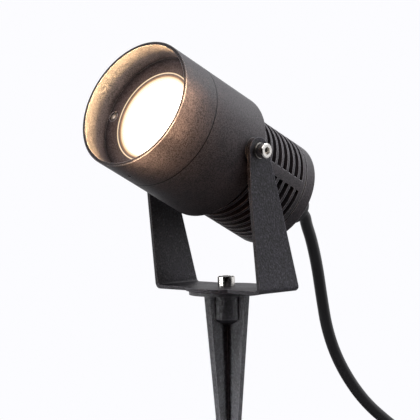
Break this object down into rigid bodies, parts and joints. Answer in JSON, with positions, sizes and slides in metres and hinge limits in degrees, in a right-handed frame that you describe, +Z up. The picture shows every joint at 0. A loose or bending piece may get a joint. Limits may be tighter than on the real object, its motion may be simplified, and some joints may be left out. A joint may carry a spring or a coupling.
{
  "type": "garden spike spotlight",
  "caption": "Outdoor spotlight with a finned cylindrical head and deep glare shield, tilting in a U bracket on a cross-shaped ground spike, with a rubber cord and plug",
  "frame": {"origin": "on the spike's axis at the ground line, the underside of the spike's flange", "axes": "+Z up along the spike; the head looks towards -Y; the tilt axis is along X"},
  "size_m": [0.1611, 0.3311, 0.2951],
  "materials": {
    "powder_coated_metal": "fine-texture matte powder coat, anthracite",
    "stainless_steel": "stainless steel, bright",
    "spike_plastic": "satin moulded plastic, black",
    "black_rubber": "matte rubber sheath",
    "silicone": "translucent white silicone",
    "gland_plastic": "moulded nylon, black",
    "nylon": "plain nylon, black",
    "clear_glass": "clear toughened",
    "lamp_glass": "lit reflector lamp, warm white",
    "holder_ceramic": "matte ceramic",
    "brass": "plain brass",
    "plated_brass": "nickel plated"
  },
  "bodies": {
    "spike": {"ground_spike": "spike_plastic", "spike_insert": "brass", "base_screw": "stainless_steel"},
    "bracket": {"bracket": "powder_coated_metal", "cord_free": "black_rubber", "cord_coil": "black_rubber", "plug_body": "black_rubber", "plug_pins": "plated_brass"},
    "head": {"housing": "powder_coated_metal", "hood": "powder_coated_metal", "glass": "clear_glass", "glass_gasket": "silicone", "lamp": "lamp_glass", "lamp_holder": "holder_ceramic", "holder_plate": "stainless_steel", "leads": "black_rubber", "rear_gasket": "black_rubber", "rear_cap": "powder_coated_metal", "gland_body": "gland_plastic", "gland_locknut": "gland_plastic", "gland_nut": "gland_plastic", "gland_seal": "black_rubber", "cord_inside": "black_rubber", "plate_screw_1": "stainless_steel", "plate_screw_2": "stainless_steel", "plate_screw_3": "stainless_steel", "cap_screw_1": "stainless_steel", "cap_screw_2": "stainless_steel", "cap_screw_3": "stainless_steel", "pivot_pad_right": "nylon", "pivot_washer_right": "stainless_steel", "pivot_screw_right": "stainless_steel", "pivot_pad_left": "nylon", "pivot_washer_left": "stainless_steel", "pivot_screw_left": "stainless_steel"}
  },
  "joints": [
    {"name": "bracket_swivel", "type": "hinge", "parent": "spike", "child": "bracket", "pos_m": [0, 0, 0], "axis": [0, 0, 1], "range_deg": [-180, 180]},
    {"name": "head_tilt", "type": "hinge", "parent": "bracket", "child": "head", "pos_m": [0, -0.015, 0.0834], "axis": [1, 0, 0], "range_deg": [-29, 86], "deforming": ["cord_free"]}
  ]
}
